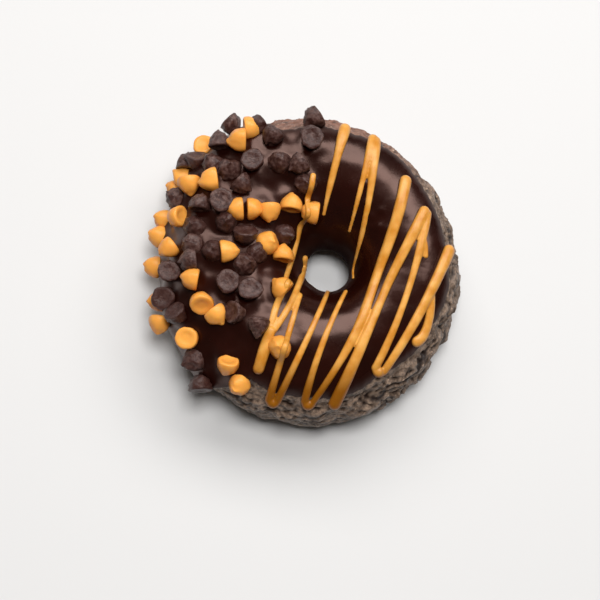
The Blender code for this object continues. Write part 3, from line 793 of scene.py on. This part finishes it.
def make_icing(ring):
    """The icing: thin and frayed at its lower edge, wavy on top, and climbing a little up every chip."""
    bearing = np.linspace(-math.pi, math.pi, ICING_COLUMNS, endpoint=False)[:, None]
    directions = [Vector((math.cos(angle), math.sin(angle), 0)) for angle in bearing[:, 0]]
    fray = [noise.noise(FRAY_FINENESS * direction) for direction in directions]
    edge = icing_edge(bearing) + ICING_EDGE_FRAY * np.array(fray)[:, None]
    share = np.linspace(0, 1, ICING_ROWS)[None, :]
    section = edge + (ICING_END_IN_HOLE - edge) * share
    skin = ring.skin(bearing, section)
    lift = np.full(section.shape, ring.icing_lift)
    at_chips = nearness(bearing, CHIPS_BEARING) ** 2
    dimple = DIMPLE_HEIGHT * (1 + DIMPLES_AT_CHIPS * at_chips[:, 0])
    for column in range(ICING_COLUMNS):
        for row in range(ICING_ROWS):
            place = Vector(skin[column, row])
            lift[column, row] += WAVE_HEIGHT * noise.noise(place / WAVE_LENGTH)
            lift[column, row] += dimple[column] * noise.noise(place / DIMPLE_LENGTH)
    for _, _, size, foot in chip_places(ring):
        gap = np.linalg.norm(skin - np.array(foot), axis=-1) - CLIMB_FROM * CHIP_BASE_RADIUS * size
        climb = 0.5 * CLIMB_HEIGHT * np.exp(-((np.maximum(gap, 0) / CLIMB_WIDTH) ** 2))
        lift += np.where(gap < 4 * CLIMB_WIDTH, climb, 0)
    for bearing_degrees, section_degrees, height, radius in ICING_LUMPS:
        middle = ring.skin(bearing_degrees * DEGREE, section_degrees * DEGREE)
        gap = np.linalg.norm(skin - middle, axis=-1)
        lift += height * MM * np.exp(-((gap / (radius * MM)) ** 2))
    # The outer face thins to almost nothing at both ends, along a round curve.
    thin = 1 - np.clip(share / ICING_THINS_FROM, 0, 1)
    round_edge = (1 - thin**2) ** ICING_EDGE_ROUNDNESS
    thin = 1 - np.clip((1 - share) / ICING_THINS_IN_HOLE, 0, 1)
    round_end = np.sqrt(1 - thin**2)
    lift = ICING_END_LIFT + (lift - ICING_END_LIFT) * round_edge * round_end
    outer = ring.lifted(bearing, section, lift)
    back = np.linspace(1, 0, ICING_BACK_ROWS + 2)[None, 1:-1]
    inner = ring.lifted(bearing, edge + (ICING_END_IN_HOLE - edge) * back, -ICING_BACK_SINK)
    in_hole = np.clip((section - DULL_FROM) / (DULL_FULL - DULL_FROM), 0, 1)
    at_edge = np.clip((DULL_EDGE_END - (section - edge)) / DULL_EDGE_FADE, 0, 1)
    dull = DULL_IN_HOLE * in_hole + at_edge + DULL_AT_CHIPS * at_chips
    dull = np.concatenate((dull, np.full(inner.shape[:2], DULL_IN_HOLE)), axis=1)
    piece = ring_object("chocolate_icing", np.concatenate((outer, inner), axis=1))
    piece.data.attributes.new("dull", "FLOAT", "POINT").data.foreach_set("value", dull.ravel())
    return piece


def chip_shape(name, kind, draw):
    """One chip turned from its outline, bent and pressed a little by chance."""
    outline = CHIP_OUTLINES[kind]
    bend = Vector((draw.uniform(-1, 1), draw.uniform(-1, 1), 0)) * CHIP_BEND
    press = draw.uniform(*CHIP_PRESS)
    offset = Vector([draw.uniform(0, 50) for _ in range(3)])
    scale = Vector((CHIP_BASE_RADIUS, CHIP_BASE_RADIUS, CHIP_HEIGHT))
    points, faces = [], []
    middle = outline[1:-1]
    for radius, height in middle:
        radius *= 1 + CHIP_RINGS[kind] * math.sin(RING_FINENESS * height)
        for side in range(CHIP_SIDES):
            angle = 2 * math.pi * side / CHIP_SIDES
            spot = Vector((radius * math.cos(angle), radius * math.sin(angle) * press, height))
            lumps = sum(part * noise.noise(fineness * spot + offset) for fineness, part in CHIP_LUMPS)
            spot *= 1 + CHIP_UNEVEN[kind] * lumps
            spot += bend * max(0.0, height - BEND_FROM) ** 2
            points.append(spot * scale)
    for ring_number in range(len(middle) - 1):
        for side in range(CHIP_SIDES):
            first = ring_number * CHIP_SIDES
            beside = (side + 1) % CHIP_SIDES
            above = first + CHIP_SIDES
            faces.append((first + side, first + beside, above + beside, above + side))
    base_middle, tip = len(points), len(points) + 1
    last = (len(middle) - 1) * CHIP_SIDES
    points.append(Vector((0, 0, outline[0][1])) * scale)
    points.append((bend * (1 - BEND_FROM) ** 2 + Vector((0, 0, outline[-1][1]))) * scale)
    for side in range(CHIP_SIDES):
        beside = (side + 1) % CHIP_SIDES
        faces.append((base_middle, beside, side))
        faces.append((tip, last + side, last + beside))
    mesh = bpy.data.meshes.new(name)
    mesh.from_pydata(points, [], faces)
    return bpy.data.objects.new(name, mesh)


def input_identifiers(tree):
    """Identifier of each named input of a node group."""
    return {item.name: item.identifier for item in tree.interface.items_tree if item.in_out == "INPUT"}


def chip_tree():
    """Geometry nodes that set a chip on every point, turned and sized by the point's attributes."""
    tree = bpy.data.node_groups.new("Chips on Icing", "GeometryNodeTree")
    tree.interface.new_socket("Points", in_out="INPUT", socket_type="NodeSocketGeometry")
    tree.interface.new_socket("Chip Shapes", in_out="INPUT", socket_type="NodeSocketCollection")
    scale = tree.interface.new_socket("Chip Scale", in_out="INPUT", socket_type="NodeSocketFloat")
    scale.default_value = 1.0
    tree.interface.new_socket("Chip Material", in_out="INPUT", socket_type="NodeSocketMaterial")
    tree.interface.new_socket("Seed", in_out="INPUT", socket_type="NodeSocketInt").default_value = CHIP_SEED
    tree.interface.new_socket("Chips", in_out="OUTPUT", socket_type="NodeSocketGeometry")
    source = add_node(tree, "NodeGroupInput").outputs
    turned = add_node(tree, "GeometryNodeInputNamedAttribute", {"Name": "turned"}, data_type="FLOAT_VECTOR")
    size = add_node(tree, "GeometryNodeInputNamedAttribute", {"Name": "size"}, data_type="FLOAT")
    values = {0: size.outputs[0], 1: source["Chip Scale"]}
    scale = add_node(tree, "ShaderNodeMath", values, operation="MULTIPLY")
    # Input 5 is the largest whole number that it draws.
    values = {"Seed": source["Seed"], 5: CHIP_SHAPES - 1}
    pick = add_node(tree, "FunctionNodeRandomValue", values, data_type="INT")
    values = {"Collection": source["Chip Shapes"], "Separate Children": True, "Reset Children": True}
    shapes = add_node(tree, "GeometryNodeCollectionInfo", values)
    values = {
        "Points": source["Points"],
        "Instance": shapes.outputs[0],
        "Pick Instance": True,
        "Instance Index": pick.outputs[2],
        "Rotation": turned.outputs[0],
        "Scale": scale.outputs[0],
    }
    chips = add_node(tree, "GeometryNodeInstanceOnPoints", values)
    tone = add_node(tree, "FunctionNodeRandomValue", {"Seed": source["Seed"]}, data_type="FLOAT")
    values = {"Geometry": chips.outputs[0], "Name": "tone", "Value": tone.outputs[1]}
    toned = add_node(tree, "GeometryNodeStoreNamedAttribute", values, data_type="FLOAT", domain="INSTANCE")
    real = add_node(tree, "GeometryNodeRealizeInstances", {"Geometry": toned.outputs[0]})
    values = {"Geometry": real.outputs[0], "Material": source["Chip Material"]}
    coated = add_node(tree, "GeometryNodeSetMaterial", values)
    add_node(tree, "NodeGroupOutput", {"Chips": coated.outputs[0]})
    return tree


def make_chips(ring, kind, material):
    """All chips of one kind, as one piece."""
    places = [(matrix, size) for kind_here, matrix, size, _ in chip_places(ring) if kind_here == kind]
    points = bpy.data.meshes.new(f"{kind}_chip_points")
    points.from_pydata([matrix.translation for matrix, _ in places], [], [])
    turned = points.attributes.new("turned", "FLOAT_VECTOR", "POINT")
    turned.data.foreach_set("vector", [angle for matrix, _ in places for angle in matrix.to_euler()])
    points.attributes.new("size", "FLOAT", "POINT").data.foreach_set("value", [size for _, size in places])
    holder = link(bpy.data.objects.new(f"{kind}_chip_points", points))
    shapes = bpy.data.collections.new(f"{kind}_chip_shapes")
    draw = random.Random(kind)
    for number in range(CHIP_SHAPES):
        shapes.objects.link(chip_shape(f"{kind}_chip_{number}", kind, draw))
    tree = chip_tree()
    setting = holder.modifiers.new("chips", "NODES")
    setting.node_group = tree
    names = input_identifiers(tree)
    setting[names["Chip Shapes"]] = shapes
    setting[names["Chip Scale"]] = 1.0
    setting[names["Chip Material"]] = material
    setting[names["Seed"]] = CHIP_SEED
    piece = plain_mesh_object(holder, f"{kind}_chips")
    for shape in list(shapes.objects):
        bpy.data.objects.remove(shape)
    bpy.data.collections.remove(shapes)
    return piece


def strand_radius(share, radii):
    """Half the strand's width at shares of its length."""
    first, middle, last = (radius * MM for radius in radii)
    half = np.clip(2 * share - (share >= 0.5), 0, 1)
    half = half * half * (3 - 2 * half)
    return np.where(share < 0.5, first + (middle - first) * half, middle + (last - middle) * half)


def hang_over_chips(skin, normal, lift, radius, middles):
    """The lift of a strand's points, raised where the strand crosses a chip."""
    raised = lift.copy()
    for middle in middles:
        away = middle - skin
        high = (away * normal).sum(axis=1)
        aside = np.linalg.norm(away - high[:, None] * normal, axis=1)
        aside = np.where(abs(high) < CHIP_HEIGHT, aside, math.inf)
        if aside.min() < CROSSING:
            reach = CHIP_BULK + 0.5 * radius
            over = high + np.sqrt(np.clip(reach**2 - np.minimum(aside, reach) ** 2, 0, None))
            raised = np.where(aside < reach, np.maximum(raised, over), raised)
    spread = HANG_LENGTH / DRIZZLE_STEP
    offsets = np.arange(-3 * round(spread), 3 * round(spread) + 1)
    weights = np.exp(-0.5 * (offsets / spread) ** 2)
    extra = np.pad(raised - lift, len(offsets) // 2, mode="edge")
    return lift + np.convolve(extra, weights / weights.sum(), mode="valid")


def strand_points(ring, width, middles, number, start, bend, end, radii):
    """Centre points, radii and outward directions of one strand, with round ends."""
    start, bend, end = (np.array(place) * MM for place in (start, bend, end))
    share = np.linspace(0, 1, FINE_STEPS + 1)[:, None]
    plan = (1 - share) ** 2 * start + 2 * share * (1 - share) * bend + share**2 * end
    bearing, section = ring.place_below(plan)
    skin = ring.skin(bearing, section)
    along = np.concatenate(([0], np.cumsum(np.linalg.norm(np.diff(skin, axis=0), axis=1))))
    even = np.linspace(0, along[-1], max(4, round(along[-1] / DRIZZLE_STEP)))
    bearing = np.interp(even, along, np.unwrap(bearing))
    section = np.interp(even, along, section)
    radius = width * strand_radius(even / along[-1], radii)
    bead = [noise.noise(Vector((s / BEAD_LENGTH, 9.1 * number, 0))) for s in even]
    radius = radius * (1 + BEAD_SHARE * np.array(bead))
    lift = GAP + np.maximum(ring.icing_lift - GAP, radius + DRIZZLE_CLEARANCE)
    outward = ring.normal(bearing, section)
    lift = hang_over_chips(ring.skin(bearing, section), outward, lift, radius, middles)
    centres = ring.lifted(bearing, section, lift)
    rounds = []
    for end, inside in ((0, 2), (-1, -3)):
        end_centre, end_radius = centres[end], radius[end]
        beyond = end_centre - centres[inside]
        beyond = beyond / np.linalg.norm(beyond)
        turn = np.linspace(0, 0.5 * math.pi, END_STEPS + 1)[1:]
        places = [end_centre + beyond * end_radius * math.sin(t) for t in turn]
        sizes = [max(end_radius * math.cos(t), END_TIP) for t in turn]
        rounds.append((places, sizes))
    places = rounds[0][0][::-1] + list(centres) + rounds[1][0]
    sizes = rounds[0][1][::-1] + list(radius) + rounds[1][1]
    directions = [outward[0]] * len(rounds[0][0]) + list(outward) + [outward[-1]] * len(rounds[1][0])
    return places, sizes, directions


def drizzle_tree():
    """Geometry nodes that make a flattened strand along every line of edges, as wide as its points say."""
    tree = bpy.data.node_groups.new("Piped Strands", "GeometryNodeTree")
    tree.interface.new_socket("Lines", in_out="INPUT", socket_type="NodeSocketGeometry")
    sides = tree.interface.new_socket("Sides", in_out="INPUT", socket_type="NodeSocketInt")
    sides.default_value = STRAND_SIDES
    flatness = tree.interface.new_socket("Flatness", in_out="INPUT", socket_type="NodeSocketFloat")
    flatness.default_value = STRAND_FLATNESS
    tree.interface.new_socket("Strand Material", in_out="INPUT", socket_type="NodeSocketMaterial")
    tree.interface.new_socket("Strands", in_out="OUTPUT", socket_type="NodeSocketGeometry")
    source = add_node(tree, "NodeGroupInput").outputs
    lines = add_node(tree, "GeometryNodeMeshToCurve", {0: source["Lines"]})
    width = add_node(tree, "GeometryNodeInputNamedAttribute", {"Name": "width"}, data_type="FLOAT")
    values = {"Name": "outward"}
    outward = add_node(tree, "GeometryNodeInputNamedAttribute", values, data_type="FLOAT_VECTOR")
    values = {"Curve": lines.outputs[0], "Normal": outward.outputs[0]}
    laid = add_node(tree, "GeometryNodeSetCurveNormal", values, mode="FREE")
    values = {"Resolution": source["Sides"], "Radius": 1.0}
    circle = add_node(tree, "GeometryNodeCurvePrimitiveCircle", values)
    squash = add_node(tree, "ShaderNodeCombineXYZ", {"X": source["Flatness"], "Y": 1.0, "Z": 1.0})
    values = {"Geometry": circle.outputs[0], "Scale": squash.outputs[0]}
    flat = add_node(tree, "GeometryNodeTransform", values)
    values = {
        "Curve": laid.outputs[0],
        "Profile Curve": flat.outputs[0],
        "Scale": width.outputs[0],
        "Fill Caps": True,
    }
    tubes = add_node(tree, "GeometryNodeCurveToMesh", values)
    real = add_node(tree, "GeometryNodeRealizeInstances", {"Geometry": tubes.outputs[0]})
    values = {"Geometry": real.outputs[0], "Material": source["Strand Material"]}
    coated = add_node(tree, "GeometryNodeSetMaterial", values)
    add_node(tree, "NodeGroupOutput", {"Strands": coated.outputs[0]})
    return tree


def make_drizzle(ring, sizes, material):
    """Every strand, melted together where they cross or meet."""
    middles = [
        np.array(matrix @ Vector((0, 0, CHIP_MIDDLE * size))) for _, matrix, size, _ in chip_places(ring)
    ]
    places, edges, widths, outward = [], [], [], []
    for number, leg in enumerate(DRIZZLE_LEGS + DRIZZLE_TURNS):
        points, radii, directions = strand_points(ring, sizes.strand_width, middles, number, *leg)
        first = len(places)
        places += [tuple(point) for point in points]
        widths += radii
        outward += [value for direction in directions for value in direction]
        edges += [(first + k, first + k + 1) for k in range(len(points) - 1)]
    lines = bpy.data.meshes.new("drizzle_lines")
    lines.from_pydata(places, edges, [])
    lines.attributes.new("width", "FLOAT", "POINT").data.foreach_set("value", widths)
    lines.attributes.new("outward", "FLOAT_VECTOR", "POINT").data.foreach_set("vector", outward)
    holder = link(bpy.data.objects.new("drizzle_lines", lines))
    tree = drizzle_tree()
    piping = holder.modifiers.new("strands", "NODES")
    piping.node_group = tree
    names = input_identifiers(tree)
    piping[names["Sides"]] = STRAND_SIDES
    piping[names["Flatness"]] = STRAND_FLATNESS
    piping[names["Strand Material"]] = material
    melt = holder.modifiers.new("melted", "REMESH")
    melt.mode = "VOXEL"
    melt.voxel_size = sizes.remesh_voxel
    melt.use_smooth_shade = True
    soften = holder.modifiers.new("softened", "SMOOTH")
    soften.factor = 0.5
    soften.iterations = 4
    return plain_mesh_object(holder, "peanut_butter_drizzle")


def make_camera():
    """The camera, above the doughnut and a little to its -Y side, with +Y up the picture."""
    level = math.cos(CAMERA_ELEVATION)
    back = Vector(
        (math.sin(CAMERA_AZIMUTH) * level, -math.cos(CAMERA_AZIMUTH) * level, math.sin(CAMERA_ELEVATION))
    )
    right = (-back).cross(Vector((0, 1, 0))).normalized()
    up = right.cross(-back)
    camera = bpy.data.cameras.new("camera")
    camera.lens = CAMERA_LENS
    camera.sensor_width = 36
    camera.clip_start = 0.01
    holder = link(bpy.data.objects.new("camera", camera))
    turned = Matrix((right, up, back)).transposed().to_4x4()
    holder.matrix_world = Matrix.Translation(CAMERA_TARGET + CAMERA_DISTANCE * back) @ turned
    bpy.context.scene.camera = holder


def add_area_light(name, bearing, elevation, distance, width, height, power, colour):
    """A soft light that faces the doughnut."""
    lamp = bpy.data.lights.new(name, "AREA")
    lamp.shape = "RECTANGLE"
    lamp.size, lamp.size_y = width, height
    lamp.energy = power
    lamp.color = colour
    holder = link(bpy.data.objects.new(name, lamp))
    level = math.cos(elevation)
    away = Vector((math.cos(bearing) * level, math.sin(bearing) * level, math.sin(elevation)))
    holder.location = distance * away
    holder.rotation_euler = away.to_track_quat("Z", "Y").to_euler()
    return holder


def make_stage(colours):
    """A plain pale floor, a large soft light on the +Y side, a small one above and a dim even surround."""
    half = FLOOR_HALF_WIDTH
    corners = [(-half, -half, 0), (half, -half, 0), (half, half, 0), (-half, half, 0)]
    floor = bpy.data.meshes.new("floor")
    floor.from_pydata(corners, [], [(0, 1, 2, 3)])
    floor.materials.append(floor_material(colours))
    link(bpy.data.objects.new("floor", floor))
    world = bpy.data.worlds.new("surround")
    world.use_nodes = True
    sky = world.node_tree.nodes["Background"]
    sky.inputs["Color"].default_value = rgba(linear("#fff8f2"))
    sky.inputs["Strength"].default_value = SURROUND_STRENGTH
    bpy.context.scene.world = world
    lamps = {name: add_area_light(name, *values) for name, values in LIGHTS.items()}
    # The ceiling light fills shadows only, so the icing mirrors the window alone.
    lamps["ceiling"].visible_glossy = False
    bpy.context.scene.view_settings.view_transform = "Standard"


class DOUGHNUT_OT_bake_cake(bpy.types.Operator):
    """Make the baked cake ring"""

    bl_idname = "doughnut.bake_cake"
    bl_label = "Bake Cake"

    def execute(self, context):
        piece = make_cake(Ring(context.scene.doughnut_sizes))
        material = crumb_material(context.scene.doughnut_colours)
        finish_piece(piece, "chocolate_cake_ring", material)
        return {"FINISHED"}


class DOUGHNUT_OT_pour_icing(bpy.types.Operator):
    """Make the chocolate icing over the cake"""

    bl_idname = "doughnut.pour_icing"
    bl_label = "Pour Icing"

    def execute(self, context):
        piece = make_icing(Ring(context.scene.doughnut_sizes))
        material = icing_material(context.scene.doughnut_colours)
        finish_piece(piece, "icing_chips_and_drizzle", material)
        return {"FINISHED"}


class DOUGHNUT_OT_scatter_chocolate_chips(bpy.types.Operator):
    """Make the chocolate chips"""

    bl_idname = "doughnut.scatter_chocolate_chips"
    bl_label = "Scatter Chocolate Chips"

    def execute(self, context):
        material = chocolate_chip_material(context.scene.doughnut_colours)
        piece = make_chips(Ring(context.scene.doughnut_sizes), "chocolate", material)
        finish_piece(piece, "icing_chips_and_drizzle", material)
        return {"FINISHED"}


class DOUGHNUT_OT_scatter_peanut_butter_chips(bpy.types.Operator):
    """Make the peanut butter chips"""

    bl_idname = "doughnut.scatter_peanut_butter_chips"
    bl_label = "Scatter Peanut Butter Chips"

    def execute(self, context):
        material = peanut_butter_chip_material(context.scene.doughnut_colours)
        piece = make_chips(Ring(context.scene.doughnut_sizes), "peanut_butter", material)
        store_steepness(piece)
        finish_piece(piece, "icing_chips_and_drizzle", material)
        return {"FINISHED"}


class DOUGHNUT_OT_pipe_drizzle(bpy.types.Operator):
    """Make the peanut butter drizzle"""

    bl_idname = "doughnut.pipe_drizzle"
    bl_label = "Pipe Drizzle"

    def execute(self, context):
        sizes = context.scene.doughnut_sizes
        material = drizzle_material(context.scene.doughnut_colours)
        piece = make_drizzle(Ring(sizes), sizes, material)
        store_steepness(piece)
        finish_piece(piece, "icing_chips_and_drizzle", material)
        return {"FINISHED"}


class DOUGHNUT_OT_set_stage(bpy.types.Operator):
    """Make the floor, the lights and the camera"""

    bl_idname = "doughnut.set_stage"
    bl_label = "Set Stage"

    def execute(self, context):
        make_stage(context.scene.doughnut_colours)
        make_camera()
        return {"FINISHED"}


STEPS = (
    DOUGHNUT_OT_bake_cake,
    DOUGHNUT_OT_pour_icing,
    DOUGHNUT_OT_scatter_chocolate_chips,
    DOUGHNUT_OT_scatter_peanut_butter_chips,
    DOUGHNUT_OT_pipe_drizzle,
    DOUGHNUT_OT_set_stage,
)


class DOUGHNUT_PT_panel(bpy.types.Panel):
    """Sizes, colours and steps of the doughnut"""

    bl_label = "Doughnut"
    bl_idname = "DOUGHNUT_PT_panel"
    bl_space_type = "VIEW_3D"
    bl_region_type = "UI"
    bl_category = "Doughnut"

    def draw(self, context):
        for group in (context.scene.doughnut_sizes, context.scene.doughnut_colours):
            box = self.layout.box()
            for name in group.__annotations__:
                box.prop(group, name)
        for step in STEPS:
            self.layout.operator(step.bl_idname)


CLASSES = (DoughnutSizes, DoughnutColours, *STEPS, DOUGHNUT_PT_panel)


def register():
    for cls in CLASSES:
        bpy.utils.register_class(cls)
    bpy.types.Scene.doughnut_sizes = bpy.props.PointerProperty(type=DoughnutSizes)
    bpy.types.Scene.doughnut_colours = bpy.props.PointerProperty(type=DoughnutColours)


def unregister():
    del bpy.types.Scene.doughnut_colours
    del bpy.types.Scene.doughnut_sizes
    for cls in reversed(CLASSES):
        bpy.utils.unregister_class(cls)


def main():
    register()
    bpy.ops.doughnut.bake_cake()
    bpy.ops.doughnut.pour_icing()
    bpy.ops.doughnut.scatter_chocolate_chips()
    bpy.ops.doughnut.scatter_peanut_butter_chips()
    bpy.ops.doughnut.pipe_drizzle()
    bpy.ops.doughnut.set_stage()


if __name__ == "__main__":
    main()
